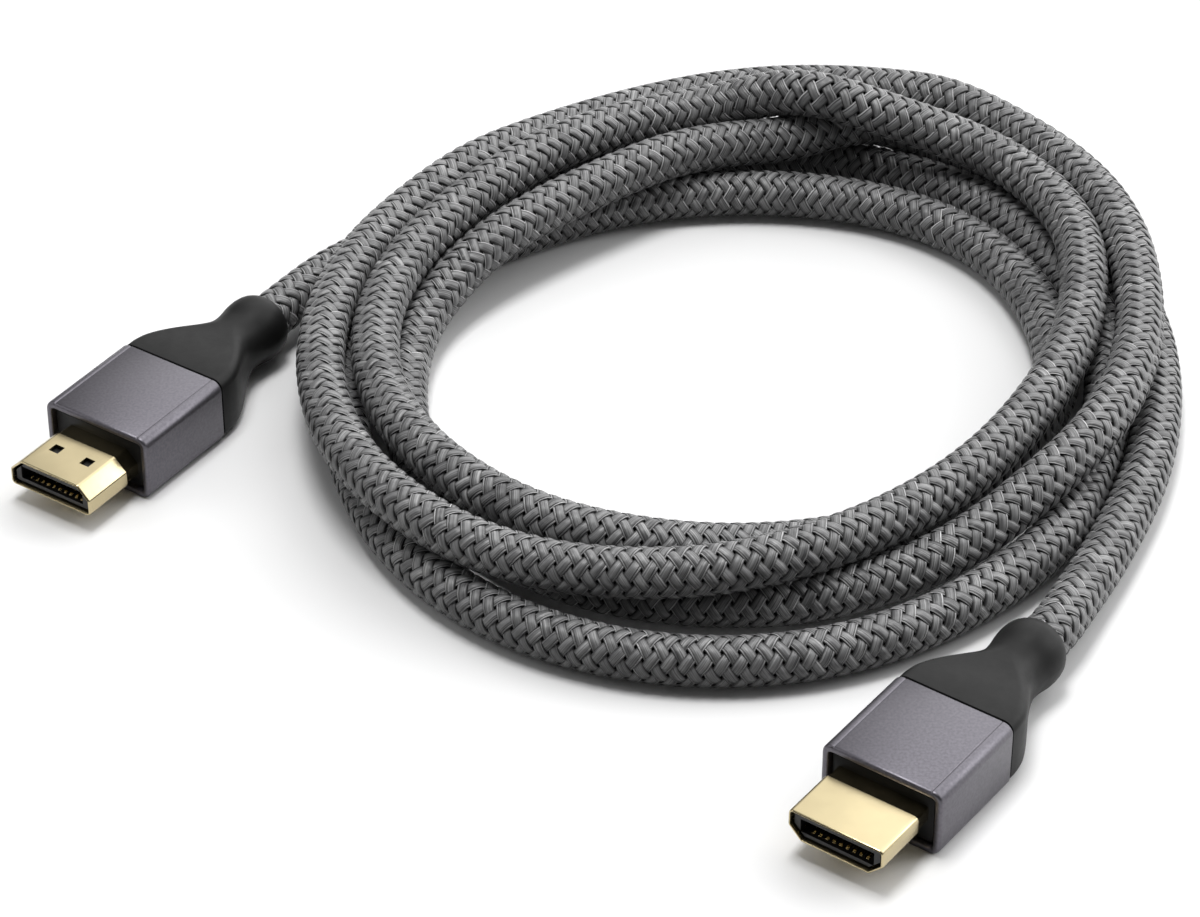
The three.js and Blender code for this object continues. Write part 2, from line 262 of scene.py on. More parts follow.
# %% Helpers for nodes and pieces
def wire(tree, kind, inputs=None, **settings):
    """Adds a node. An input is a value, or a socket of another node to link from."""
    made = tree.nodes.new(kind)
    for name, value in settings.items():
        setattr(made, name, value)
    for key, value in (inputs or {}).items():
        if isinstance(value, bpy.types.NodeSocket):
            tree.links.new(value, made.inputs[key])
        else:
            made.inputs[key].default_value = value
    return made


def maths(tree, operation, first, second=0.0):
    """A sum of two numbers, as the socket that gives its result."""
    return wire(tree, "ShaderNodeMath", {0: first, 1: second}, operation=operation).outputs[0]


def vector_maths(tree, operation, first, second):
    """A sum of two vectors, or a vector scaled by a number, as its result's socket."""
    key = "Scale" if operation == "SCALE" else 1
    made = wire(tree, "ShaderNodeVectorMath", {0: first, key: second}, operation=operation)
    return made.outputs[0]


def new_object(name, data):
    """An object for the data, linked into the scene."""
    made = bpy.data.objects.new(name, data)
    bpy.context.scene.collection.objects.link(made)
    return made


def mesh_piece(name, points, faces, matrix=None, smooth=True):
    """A piece at the origin, with its place in its mesh."""
    mesh = bpy.data.meshes.new(name)
    mesh.from_pydata([tuple(p) for p in points], [], faces)
    if matrix is not None:
        mesh.transform(matrix)
    mesh.validate()
    if smooth:
        mesh.shade_smooth()
    else:
        mesh.shade_flat()
    return new_object(name, mesh)


def baked(piece, name):
    """The piece as its modifiers leave it, as a plain mesh under a new object."""
    bpy.context.view_layer.update()
    graph = bpy.context.evaluated_depsgraph_get()
    mesh = bpy.data.meshes.new_from_object(piece.evaluated_get(graph), depsgraph=graph)
    mesh.name = name
    bpy.data.objects.remove(piece, do_unlink=True)
    return new_object(name, mesh)


def dress(piece, material, sharp_degrees):
    """Marks the edges that turn more than that, and gives the piece its one material."""
    piece.data.set_sharp_from_angle(angle=math.radians(sharp_degrees))
    piece.data.materials.clear()
    piece.data.materials.append(material)


# %% [markdown]
# Materials begin with a fresh tree that holds one shader and its output. Object coordinates
# are metres on these pieces, so a noise scale of 1000 has a grain of about a millimetre.

# %% Helpers for materials
def fresh_material(name, values):
    """A material with one shader, which has those values on its sockets."""
    material = bpy.data.materials.new(name)
    material.use_nodes = True
    tree = material.node_tree
    tree.nodes.clear()
    shader = wire(tree, "ShaderNodeBsdfPrincipled", values)
    output = wire(tree, "ShaderNodeOutputMaterial")
    tree.links.new(shader.outputs[0], output.inputs["Surface"])
    return material, tree, shader


def ramp(tree, factor, stops):
    """Colours for a value, from stops of a place and a colour."""
    made = wire(tree, "ShaderNodeValToRGB", {0: factor})
    band = made.color_ramp
    while len(band.elements) < len(stops):
        band.elements.new(0.5)
    for element, (place, colour) in zip(band.elements, stops):
        element.position = place
        element.color = (*colour, 1)
    return made.outputs["Color"]


def between(tree, value, low, high):
    """Stretches a value from 0..1 to low..high."""
    made = wire(tree, "ShaderNodeMapRange", {"Value": value, "To Min": low, "To Max": high})
    return made.outputs["Result"]


def noise(tree, place, scale, detail):
    values = {"Vector": place, "Scale": scale, "Detail": detail}
    return wire(tree, "ShaderNodeTexNoise", values).outputs[0]


def grain(tree, scale, detail=3.0):
    """Noise that is the same in every direction of the piece."""
    place = wire(tree, "ShaderNodeTexCoord").outputs["Object"]
    return noise(tree, place, scale, detail)


def streaks(tree, place, stretch, detail):
    """Noise at a place of the UV map that is squeezed more one way than the other."""
    squeezed = wire(tree, "ShaderNodeMapping", {"Vector": place, "Scale": stretch})
    return noise(tree, squeezed.outputs[0], 1.0, detail)


def bumped(tree, shader, height, distance, strength):
    """Tilts the shader's surface by a height map. The distance is in metres."""
    values = {"Height": height, "Distance": distance, "Strength": strength}
    normal = wire(tree, "ShaderNodeBump", values).outputs[0]
    tree.links.new(normal, shader.inputs["Normal"])


# %% [markdown]
# The braid's yarns are bundles of grey nylon filaments, and no two bundles are quite the same
# grey.
# Across each yarn, light and shade are painted in. A painted highlight is a bright stripe near
# one edge, and painted shade darkens both edges, where the yarns meet and dip under each other.
# The stripes follow the yarn, so they read the yarn's own UV map: across it and along it.

# %% Yarn material
FILAMENT_STRETCH = (13, 170, 1)
PATCH_STRETCH = (1.5, 420, 1)
YARN_GREYS = [
    (0.36, (0.060, 0.060, 0.062)), (0.46, (0.150, 0.150, 0.152)),
    (0.56, (0.230, 0.230, 0.232)), (0.66, (0.420, 0.420, 0.420))]
# Painted shade at both edges of the yarn and a painted highlight near one edge: each stop is a
# place across the yarn and how bright it is there.
YARN_EDGE_SHADE_AND_HIGHLIGHT = [  # place across the yarn, and how bright it is there
    (0.07, 0.10), (0.11, 1.9), (0.18, 1.9), (0.23, 0.15), (0.30, 0.8), (0.45, 1.0),
    (0.80, 0.9), (0.90, 0.12)]


def yarn_material():
    material, tree, shader = fresh_material(
        "braid_yarn", {"Roughness": 0.36, "Specular IOR Level": 0.6})
    place = wire(tree, "ShaderNodeTexCoord").outputs["UV"]
    across = wire(tree, "ShaderNodeSeparateXYZ", {0: place}).outputs["X"]
    filaments = streaks(tree, place, FILAMENT_STRETCH, 2.0)
    patches = streaks(tree, place, PATCH_STRETCH, 1.0)
    mixed = maths(tree, "ADD", maths(tree, "MULTIPLY", filaments, 0.6),
                  maths(tree, "MULTIPLY", patches, 0.4))
    body = ramp(tree, mixed, YARN_GREYS)
    # The painted edge shade and highlight darken and brighten the yarn's colour, and their grey
    # also raises a ridge in the bump.
    painted_edge_shade_and_highlight = ramp(tree, across, [(stop, (grey, grey, grey)) for stop, grey in YARN_EDGE_SHADE_AND_HIGHLIGHT])
    colour = wire(tree, "ShaderNodeMix", {0: 1.0, 6: body, 7: painted_edge_shade_and_highlight},
                  data_type="RGBA", blend_type="MULTIPLY").outputs[2]
    tree.links.new(colour, shader.inputs["Base Color"])
    ridge = wire(tree, "ShaderNodeRGBToBW", {0: painted_edge_shade_and_highlight}).outputs[0]
    height = maths(tree, "ADD", filaments, maths(tree, "MULTIPLY", ridge, 0.5))
    bumped(tree, shader, height, 0.00012, 0.8)
    return material


def core_material():
    material, tree, shader = fresh_material("cord_core", {"Roughness": 0.8})
    colour = ramp(tree, grain(tree, 900), [
        (0.3, (0.008, 0.008, 0.009)), (0.7, (0.024, 0.024, 0.026))])
    tree.links.new(colour, shader.inputs["Base Color"])
    return material


YARN = yarn_material()
CORE = core_material()

# %% [markdown]
# Under the braid is the cord's body: the jacket with the wires in it. It only shows as the
# dark in the gaps between yarns, so a plain tube will do. The route becomes a curve, and a
# small Geometry Nodes tree sweeps a circle along it.

# %% The route as a curve
def route_curve(name):
    """The route as a curve object, for a tree to work on."""
    curve = bpy.data.curves.new(name, "CURVE")
    curve.dimensions = "3D"
    spline = curve.splines.new("POLY")
    spline.points.add(len(route) - 1)
    flat = np.concatenate([route * MM, np.ones((len(route), 1))], axis=1)
    spline.points.foreach_set("co", flat.ravel())
    return new_object(name, curve)


def new_tree(name, sockets):
    """An empty Geometry Nodes tree with named inputs, and its two end nodes."""
    tree = bpy.data.node_groups.new(name, "GeometryNodeTree")
    tree.interface.new_socket("Geometry", in_out="INPUT", socket_type="NodeSocketGeometry")
    tree.interface.new_socket("Geometry", in_out="OUTPUT", socket_type="NodeSocketGeometry")
    for label, kind in sockets:
        tree.interface.new_socket(label, in_out="INPUT", socket_type="NodeSocket" + kind)
    return tree, wire(tree, "NodeGroupInput"), wire(tree, "NodeGroupOutput")


def grow(piece, tree, values):
    """Puts the tree on the piece, with its inputs set by their identifiers."""
    modifier = piece.modifiers.new(tree.name, "NODES")
    modifier.node_group = tree
    for item in tree.interface.items_tree:
        if item.item_type == "SOCKET" and item.in_out == "INPUT" and item.name in values:
            modifier[item.identifier] = values[item.name]


def end_tree(tree, given, result, geometry):
    """The last nodes of every tree: plain geometry, and then its material."""
    plain = wire(tree, "GeometryNodeRealizeInstances", {"Geometry": geometry})
    dyed = wire(tree, "GeometryNodeSetMaterial", {
        "Geometry": plain.outputs[0], "Material": given.outputs["Material"]})
    tree.links.new(dyed.outputs[0], result.inputs[0])


# %% The cord's core
CORE_RADIUS = 2.75
CORE_SIDES = 16


def core_tree():
    """A circle swept along the route."""
    tree, given, result = new_tree(
        "swept core", [("Radius", "Float"), ("Sides", "Int"), ("Material", "Material")])
    circle = wire(tree, "GeometryNodeCurvePrimitiveCircle", {
        "Resolution": given.outputs["Sides"], "Radius": given.outputs["Radius"]})
    sweep = wire(tree, "GeometryNodeCurveToMesh", {
        "Curve": given.outputs["Geometry"], "Profile Curve": circle.outputs["Curve"],
        "Fill Caps": True})
    smooth = wire(tree, "GeometryNodeSetShadeSmooth", {"Geometry": sweep.outputs["Mesh"]})
    end_tree(tree, given, result, smooth.outputs[0])
    return tree


core = route_curve("core_route")
grow(core, core_tree(), {"Radius": CORE_RADIUS * MM, "Sides": CORE_SIDES, "Material": CORE})
core = baked(core, "cord_core")
print("core faces:", len(core.data.polygons))

# %% [markdown]
# The braid is twelve flat yarns, six wound to the right and six to the left. Each passes
# over one yarn and under the next. So one yarn is a helix round the route whose
# radius swings in and out, and where a right yarn is out the left one is in. The tree makes
# the helix from the route, gives it the outward direction as its normal, and sweeps a
# flattened profile along it.

# %% The braid's tree
YARNS_EACH_WAY = 6
BRAID_PITCH = 13.0
YARN_WIDTH = 1.74
YARN_HEIGHT = 0.46
YARN_SWING = 0.13
YARN_LAY = 3.14
WEAVE_STEEPNESS = 1.5
STEPS_PER_CROSSING = 4
YARNS_PER_PIECE = 2


def stored(tree, geometry, name, value, data_type, domain="POINT"):
    """The geometry with the value kept on it under a name."""
    return wire(tree, "GeometryNodeStoreNamedAttribute", {
        "Geometry": geometry, "Name": name, "Value": value},
        data_type=data_type, domain=domain).outputs[0]


def recalled(tree, name, data_type):
    """The value that was kept under that name."""
    return wire(tree, "GeometryNodeInputNamedAttribute", {"Name": name},
                data_type=data_type).outputs[0]


def braid_tree():
    """Flat yarns that wind round the route, each over and under the other hand's."""
    tree, given, result = new_tree("woven yarns", [
        ("Yarns", "Int"), ("Turn per yarn", "Float"), ("First turn", "Float"),
        ("Hand", "Float"), ("Pitch", "Float"), ("Lay radius", "Float"), ("Swing", "Float"),
        ("Width", "Float"), ("Height", "Float"), ("Step", "Float"), ("Material", "Material")])
    take = given.outputs
    walked = wire(tree, "GeometryNodeResampleCurve", {
        "Curve": take["Geometry"], "Length": take["Step"]}, mode="LENGTH")
    along = wire(tree, "GeometryNodeSplineParameter").outputs["Length"]
    marked = stored(tree, walked.outputs[0], "along", along, "FLOAT")
    copies = wire(tree, "GeometryNodeDuplicateElements", {
        "Geometry": marked, "Amount": take["Yarns"]}, domain="SPLINE")

    # How far round the cord each point of a yarn is, and which way is out from there.
    yarn = copies.outputs["Duplicate Index"]
    start = maths(tree, "ADD", maths(tree, "MULTIPLY", yarn, take["Turn per yarn"]),
                  take["First turn"])
    wound = maths(tree, "MULTIPLY", maths(tree, "DIVIDE", along, take["Pitch"]), take["Hand"])
    angle = maths(tree, "MULTIPLY", maths(tree, "ADD", start, wound), math.tau)
    normal = wire(tree, "GeometryNodeInputNormal").outputs[0]
    tangent = wire(tree, "GeometryNodeInputTangent").outputs[0]
    side = vector_maths(tree, "CROSS_PRODUCT", tangent, normal)
    outward = vector_maths(
        tree, "ADD",
        vector_maths(tree, "SCALE", normal, maths(tree, "COSINE", angle)),
        vector_maths(tree, "SCALE", side, maths(tree, "SINE", angle)))
    kept = stored(tree, copies.outputs["Geometry"], "outward", outward, "FLOAT_VECTOR")

    # How far out it is: high over a crossing yarn, low under the next one.
    phase = maths(tree, "MULTIPLY", maths(tree, "DIVIDE", along, take["Pitch"]),
                  math.tau * YARNS_EACH_WAY)
    wave = maths(tree, "MULTIPLY", maths(tree, "COSINE", phase), WEAVE_STEEPNESS)
    lift = maths(tree, "MULTIPLY", wave, take["Hand"])
    lift = maths(tree, "MAXIMUM", maths(tree, "MINIMUM", lift, 1.0), -1.0)
    radius = maths(tree, "ADD", take["Lay radius"], maths(tree, "MULTIPLY", lift, take["Swing"]))
    laid = wire(tree, "GeometryNodeSetPosition", {
        "Geometry": kept, "Offset": vector_maths(tree, "SCALE", outward, radius)})
    faced = wire(tree, "GeometryNodeSetCurveNormal", {
        "Curve": laid.outputs[0], "Normal": recalled(tree, "outward", "FLOAT_VECTOR")},
        mode="FREE")

    # The flattened profile, with six corners that know how far across they are.
    ring = wire(tree, "GeometryNodeCurvePrimitiveCircle", {"Resolution": 6, "Radius": 0.5})
    sideways = wire(tree, "ShaderNodeSeparateXYZ", {
        0: wire(tree, "GeometryNodeInputPosition").outputs[0]}).outputs["Y"]
    marked_ring = stored(tree, ring.outputs["Curve"], "across",
                         maths(tree, "ADD", sideways, 0.5), "FLOAT")
    flat = wire(tree, "ShaderNodeCombineXYZ", {
        0: take["Height"], 1: take["Width"], 2: 1.0})
    shaped = wire(tree, "GeometryNodeTransform", {
        "Geometry": marked_ring, "Scale": flat.outputs[0]})
    sweep = wire(tree, "GeometryNodeCurveToMesh", {
        "Curve": faced.outputs[0], "Profile Curve": shaped.outputs[0], "Fill Caps": True})

    # The yarn's own map: across it, and along the cord.
    place = wire(tree, "ShaderNodeCombineXYZ", {
        0: recalled(tree, "across", "FLOAT"), 1: recalled(tree, "along", "FLOAT")})
    mapped = stored(tree, sweep.outputs[0], "UVMap", place.outputs[0], "FLOAT2", "CORNER")
    smooth = wire(tree, "GeometryNodeSetShadeSmooth", {"Geometry": mapped})
    end_tree(tree, given, result, smooth.outputs[0])
    return tree


# %% [markdown]
# A piece holds two yarns of one hand that lie opposite each other, so that no piece has too
# many faces.

# %% The braid's yarns
woven = braid_tree()
yarns = []
part_count = YARNS_EACH_WAY // YARNS_PER_PIECE
yarn_step = BRAID_PITCH / (2 * YARNS_EACH_WAY) / STEPS_PER_CROSSING
for hand, hand_name in ((1.0, "right"), (-1.0, "left")):
    for part in range(part_count):
        name = f"braid_{hand_name}_{part + 1}"
        piece = route_curve(name + "_route")
        grow(piece, woven, {
            "Yarns": YARNS_PER_PIECE, "Turn per yarn": part_count / YARNS_EACH_WAY,
            "First turn": part / YARNS_EACH_WAY, "Hand": hand, "Pitch": BRAID_PITCH * MM,
            "Lay radius": YARN_LAY * MM, "Swing": YARN_SWING * MM, "Width": YARN_WIDTH * MM,
            "Height": YARN_HEIGHT * MM, "Step": yarn_step * MM, "Material": YARN})
        yarns.append(baked(piece, name))
        print(name, "faces:", len(yarns[-1].data.polygons))

# %% [markdown]
# The plugs' materials. The shells and contacts are gold plated: a clear yellow metal with a
# soft polish. The sleeves are anodised aluminium, a mauve grey with the fine grain that
# blasting leaves. The boots are soft black plastic and the insulators hard black plastic.
# Each has one noise for its tone and one for its gloss, and most have one for their relief.

# %% Metal and plastic materials
RELIEF_DEPTH = 0.00001


def finish(name, values, tone, stops, gloss, relief=None):
    """A material whose tone, gloss and relief follow noises of their own.

    Tone, gloss and relief start with their noise's scale and detail. Gloss goes on with the
    least and the greatest roughness, and relief with its strength.
    """
    material, tree, shader = fresh_material(name, values)
    tree.links.new(ramp(tree, grain(tree, *tone), stops), shader.inputs["Base Color"])
    roughness = between(tree, grain(tree, *gloss[:2]), *gloss[2:])
    tree.links.new(roughness, shader.inputs["Roughness"])
    if relief:
        bumped(tree, shader, grain(tree, *relief[:2]), RELIEF_DEPTH, relief[2])
    return material


def gold_finish(name, colour, least, greatest):
    stops = [(0.35, tuple(0.93 * c for c in colour)), (0.65, colour)]
    return finish(name, {"Metallic": 1.0}, (160, 2.0), stops, (700, 4.0, least, greatest),
                  (1800, 2.0, 0.25))


GOLD = gold_finish("shell_gold", (0.56, 0.475, 0.29), 0.2, 0.3)
CONTACT_GOLD = gold_finish("contact_gold", (0.80, 0.64, 0.34), 0.15, 0.25)
SLEEVE = finish(
    "anodised_grey", {"Metallic": 0.85}, (2600, 4.0),
    [(0.35, (0.118, 0.112, 0.128)), (0.65, (0.150, 0.143, 0.162))],
    (900, 4.0, 0.34, 0.46), (5200, 2.0, 0.5))
BOOT = finish(
    "soft_black", {"Specular IOR Level": 0.2}, (300, 4.0),
    [(0.35, (0.007, 0.007, 0.007)), (0.65, (0.011, 0.011, 0.011))],
    (1100, 3.0, 0.44, 0.56), (4200, 3.0, 0.6))
INSULATOR = finish(
    "black_insulator", {}, (500, 3.0),
    [(0.3, (0.006, 0.006, 0.006)), (0.7, (0.012, 0.012, 0.012))],
    (900, 3.0, 0.35, 0.5))

# %% [markdown]
# Shell and sleeve are both tubes with a flat section, so both are made as rings of points
# that run along the outside and back along the inside. A section is a polygon with round
# corners. Each of its points knows its outward direction, so the same section can be drawn
# smaller for a lip, a band or the inner wall.

# %% Sections and skins
def rounded_section(corners, radii, steps):
    """Points and outward directions round a convex polygon, anticlockwise."""
    points, outwards = [], []
    count = len(corners)
    for i in range(count):
        corner = np.array(corners[i], float)
        before = np.array(corners[i - 1], float)
        after = np.array(corners[(i + 1) % count], float)
        into = (corner - before) / np.linalg.norm(corner - before)
        out = (after - corner) / np.linalg.norm(after - corner)
        normal_in = np.array([into[1], -into[0]])
        normal_out = np.array([out[1], -out[0]])
        turn = math.acos(np.clip(into @ out, -1, 1))
        centre = corner - (normal_in + normal_out) * radii[i] / (1 + into @ out)
        start = math.atan2(normal_in[1], normal_in[0])
        for k in range(steps + 1):
            angle = start + turn * k / steps
            direction = np.array([math.cos(angle), math.sin(angle)])
            points.append(centre + radii[i] * direction)
            outwards.append(direction)
    return np.array(points), np.array(outwards)


def tube_skin(rings):
    """Faces between rings that close into a loop, so that the tube has a wall."""
    count = len(rings[0])
    points = np.concatenate(rings)
    faces = []
    for r in range(len(rings)):
        here, there = r * count, ((r + 1) % len(rings)) * count
        for i in range(count):
            j = (i + 1) % count
            faces.append((here + i, here + j, there + j, there + i))
    return points, faces


def capped_skin(rings):
    """Faces between rings that follow each other, and one face on either end."""
    points, faces = tube_skin(rings)
    count = len(rings[0])
    last = (len(rings) - 1) * count
    faces = faces[:-count]
    faces.append(tuple(range(count))[::-1])
    faces.append(tuple(last + i for i in range(count)))
    return points, faces


def ring_at(x, section, inset):
    """The section as a ring at x, moved inwards by the inset."""
    points, outwards = section
    moved = points - outwards * np.asarray(inset).reshape(-1, 1)
    return np.column_stack([np.full(len(moved), x), moved])


# %% [markdown]
# The shell is one strip of thin metal, folded into a D. Its mouth is a little rolled in, and
# where it leaves the sleeve it steps down to a narrower band. Two square windows let a
# socket's springs catch it. They are cut with a boolean, because a hole in a ring skin would
# need its own faces.

# %% Gold shells
SHELL_WIDTH = 13.9
SHELL_HEIGHT = 4.45
SHELL_WALL = 0.3
SHELL_REACH = 10.1
SHELL_ROOT = 6.0
SLANT_WIDTH = 1.95
SLANT_HEIGHT = 1.9
BAND_LENGTH = 2.0
BAND_STEP = 0.25
WINDOW_SIZE = 1.6
WINDOW_PLACE = 5.1
WINDOW_SPACING = 5.4
WINDOW_CUT_FROM = 0.5
SHELL_CORNERS = [0.7, 0.7, 0.5, 0.6, 0.6, 0.5]
SHELL_ARC_STEPS = 5


def shell_section():
    """The D of the shell's outside: two slanted corners on its narrow side."""
    half, low, high = SHELL_WIDTH / 2, -SHELL_HEIGHT / 2, SHELL_HEIGHT / 2
    shoulder = high - SLANT_HEIGHT
    corners = [(-half, low), (half, low), (half, shoulder), (half - SLANT_WIDTH, high),
               (-half + SLANT_WIDTH, high), (-half, shoulder)]
    return rounded_section(corners, SHELL_CORNERS, SHELL_ARC_STEPS)


def block_mesh(name, low, high):
    """A plain block from its lowest corner to its highest."""
    x, y, z = zip(low, high)
    points = [(x[i], y[j], z[k]) for i in (0, 1) for j in (0, 1) for k in (0, 1)]
    faces = [(0, 1, 3, 2), (4, 6, 7, 5), (0, 4, 5, 1), (2, 3, 7, 6), (0, 2, 6, 4), (1, 5, 7, 3)]
    return mesh_piece(name, points, faces, smooth=False)


def shell_piece(plug_name, plug):
    """Rings along the outside of the shell and back inside it, and then its windows."""
    section = shell_section()
    lip = 0.3
    outside = [(-SHELL_ROOT, BAND_STEP), (BAND_LENGTH - 0.05, BAND_STEP),
               (BAND_LENGTH, BAND_STEP - 0.03), (BAND_LENGTH + 0.04, 0.05),
               (BAND_LENGTH + 0.1, 0.0), (SHELL_REACH - lip, 0.0),
               (SHELL_REACH - 0.16, 0.02), (SHELL_REACH - 0.06, 0.07), (SHELL_REACH, 0.16)]
    inside = [(SHELL_REACH - 0.04, 0.26), (SHELL_REACH - 0.14, 0.3),
              (BAND_LENGTH + 0.3, SHELL_WALL), (BAND_LENGTH + 0.25, BAND_STEP + SHELL_WALL),
              (-SHELL_ROOT, BAND_STEP + SHELL_WALL)]
    rings = [ring_at(x, section, inset) for x, inset in outside + inside]
    points, faces = tube_skin(rings)
    shell = mesh_piece(plug_name + "_shell_skin", points, faces)
    for side in (-1, 1):
        middle, half = side * WINDOW_SPACING / 2, WINDOW_SIZE / 2
        cutter = block_mesh(
            "window_cutter", (WINDOW_PLACE - half, middle - half, WINDOW_CUT_FROM),
            (WINDOW_PLACE + half, middle + half, SHELL_HEIGHT))
        cut = shell.modifiers.new("window", "BOOLEAN")
        cut.object = cutter
        cut.solver = "EXACT"
        shell = baked(shell, shell.name)
        bpy.data.objects.remove(cutter, do_unlink=True)
    shell.name = plug_name + "_gold_shell"
    dress(shell, GOLD, 35)
    shell.data.transform(plug_matrix(plug))
    return shell


# %% [markdown]
# The sleeve is a block of aluminium, bored through. Its long edges are round, and a fine
# groove runs beside each one, which is the dark line in the photograph. The front rim has a
# small polished round that shows as a bright line.

# %% Grey sleeves
SLEEVE_WIDTH = 17.7
SLEEVE_HEIGHT = 10.0
SLEEVE_LENGTH = 16.8
SLEEVE_WALL = 1.0
SLEEVE_EDGE = 1.5
SLEEVE_ARC_STEPS = 10
GROOVE_DEPTH = 0.09
GROOVE_PROFILE = [  # distance from the round edge, and share of the depth
    (0.02, 0.0), (0.09, 0.45), (0.15, 1.0), (0.21, 1.0), (0.27, 0.45), (0.34, 0.0)]


def sleeve_section():
    """The sleeve's section, and how deep the groove is at each of its points."""
    half, up = SLEEVE_WIDTH / 2, SLEEVE_HEIGHT / 2
    corners = [(half, up), (-half, up), (-half, -up), (half, -up)]
    arcs, outwards = rounded_section(corners, [SLEEVE_EDGE] * 4, SLEEVE_ARC_STEPS)
    points, directions, depths = [], [], []
    per_corner = len(arcs) // 4
    for corner in range(4):
        part = range(corner * per_corner, (corner + 1) * per_corner)
        flat_first = corner in (1, 3)
        side = 1 if corner in (0, 3) else -1
        level = 1 if corner in (0, 1) else -1
        groove = [((side * (half - SLEEVE_EDGE - away), level * up), depth)
                  for away, depth in GROOVE_PROFILE]
        arc = [(tuple(arcs[i]), 0.0) for i in part]
        normals = [tuple(outwards[i]) for i in part]
        flats = [(0.0, float(level))] * len(groove)
        if flat_first:
            run, run_normals = groove[::-1] + arc, flats + normals
        else:
            run, run_normals = arc + groove, normals + flats
        points += [p for p, _ in run]
        depths += [d for _, d in run]
        directions += run_normals
    return (np.array(points), np.array(directions)), np.array(depths)


def sleeve_piece(plug_name, plug):
    """Rings along the outside of the sleeve, round its front rim and back inside it."""
    section, groove = sleeve_section()
    length, wall = SLEEVE_LENGTH, SLEEVE_WALL
    outside = [(-length, 0.25), (-length + 0.08, 0.08), (-length + 0.25, 0.0), (-0.5, 0.0),
               (-0.3, 0.03), (-0.12, 0.13), (-0.03, 0.28), (0.0, 0.45)]
    inside = [(0.0, wall - 0.25), (-0.05, wall - 0.1), (-0.2, wall), (-length, wall)]
    rings = [ring_at(x, section, inset + GROOVE_DEPTH * groove * (inset < 0.2))
             for x, inset in outside]
    rings += [ring_at(x, section, inset) for x, inset in inside]
    points, faces = tube_skin(rings)
    sleeve = mesh_piece(plug_name + "_metal_sleeve", points, faces, plug_matrix(plug))
    dress(sleeve, SLEEVE, 40)
    return sleeve


# %% [markdown]
# The boot is soft plastic, moulded over the joint. Behind the sleeve it starts as the
# sleeve's own rectangle, swings in with a soft S-curve to a round neck, and ends in a
# collar round the cord. Its section turns from a rectangle with small corners to a circle,
# so the four corners run together towards the neck as creases. The rings are drawn from a
# short list of stations, smoothed the same way as the route.

# %% Soft boots
BOOT_GAP = 0.3
BOOT_RECESS = 0.6
BOOT_SHOULDER = -17.0
MOUTH_CLEARANCE = 0.12
BOOT_ARC_STEPS = 12
BOOT_EVEN_WIDTH = 1.6
BOOT_STATIONS = [  # place along the axis, half width, half height, corner radius
    (-17.1, 8.7, 4.9, 1.5), (-18.5, 8.72, 4.92, 1.5), (-20.5, 8.4, 4.85, 1.5),
    (-22.5, 7.55, 4.7, 1.55), (-24.0, 6.75, 4.55, 1.65), (-25.5, 5.9, 4.42, 1.9),
    (-27.0, 5.1, 4.33, 2.5), (-28.5, 4.55, 4.3, 3.4), (-30.0, 4.35, 4.28, 4.1),
    (-32.0, 4.45, 4.4, 4.3), (-34.0, 4.82, 4.8, 4.7), (-35.3, 4.87, 4.85, 4.78),
    (-36.6, 4.72, 4.7, 4.65), (-37.5, 4.35, 4.35, 4.3), (-37.9, 3.95, 3.95, 3.9)]
BOOT_RING_STEP = 0.35


def boot_ring(x, half_width, half_height, radius):
    """A rectangle with round corners, as round as its size allows."""
    radius = min(radius, half_width - 0.02, half_height - 0.02)
    corners = [(half_width, half_height), (-half_width, half_height),
               (-half_width, -half_height), (half_width, -half_height)]
    points, _ = rounded_section(corners, [radius] * 4, BOOT_ARC_STEPS)
    return np.column_stack([np.full(len(points), x), points])


def boot_piece(plug_name, plug):
    """Rings from inside the collar, over the outside, to the front inside the sleeve."""
    stations = np.array(BOOT_STATIONS)[::-1]
    places = np.arange(stations[0, 0], stations[-1, 0] + 0.01, BOOT_RING_STEP)
    places = np.append(places, stations[-1, 0])
    sizes = np.stack([np.interp(places, stations[:, 0], stations[:, i]) for i in (1, 2, 3)], 1)
    sizes = soft_average(sizes, BOOT_EVEN_WIDTH)
    core_width = SLEEVE_WIDTH / 2 - SLEEVE_WALL - BOOT_GAP
    core_height = SLEEVE_HEIGHT / 2 - SLEEVE_WALL - BOOT_GAP
    mouth = CORD_DIAMETER / 2 + MOUTH_CLEARANCE
    rings = [boot_ring(BOOT_MOUTH + 2.5, mouth, mouth, mouth),
             boot_ring(BOOT_MOUTH + 0.25, mouth, mouth, mouth),
             boot_ring(BOOT_MOUTH, mouth + 0.15, mouth + 0.15, mouth + 0.1)]
    rings += [boot_ring(x, *size) for x, size in zip(places, sizes)]
    rings += [boot_ring(BOOT_SHOULDER, 8.55, 4.75, 1.4),
              boot_ring(BOOT_SHOULDER, core_width, core_height, 0.6),
              boot_ring(-BOOT_RECESS - 0.1, core_width, core_height, 0.6),
              boot_ring(-BOOT_RECESS, core_width - 0.1, core_height - 0.1, 0.5)]
    points, faces = capped_skin(rings)
    boot = mesh_piece(plug_name + "_soft_boot", points, faces, plug_matrix(plug))
    dress(boot, BOOT, 50)
    return boot


# %% [markdown]
# Inside each mouth two rows of springy contacts face each other across the slot, ten on the
# wide side and nine on the narrow one. They are all the same small bar with a bent nose, so
# one bar is modelled and a Geometry Nodes tree sets out both rows.

# %% Contacts
CONTACT_PITCH = 1.0
CONTACT_WIDTH = 0.5
CONTACT_BACK = -0.6
CONTACT_FRONT = 8.9
CONTACT_INNER = 0.95
CONTACT_OUTER = 1.2
CONTACT_EDGE = 0.06
WIDE_ROW = 10


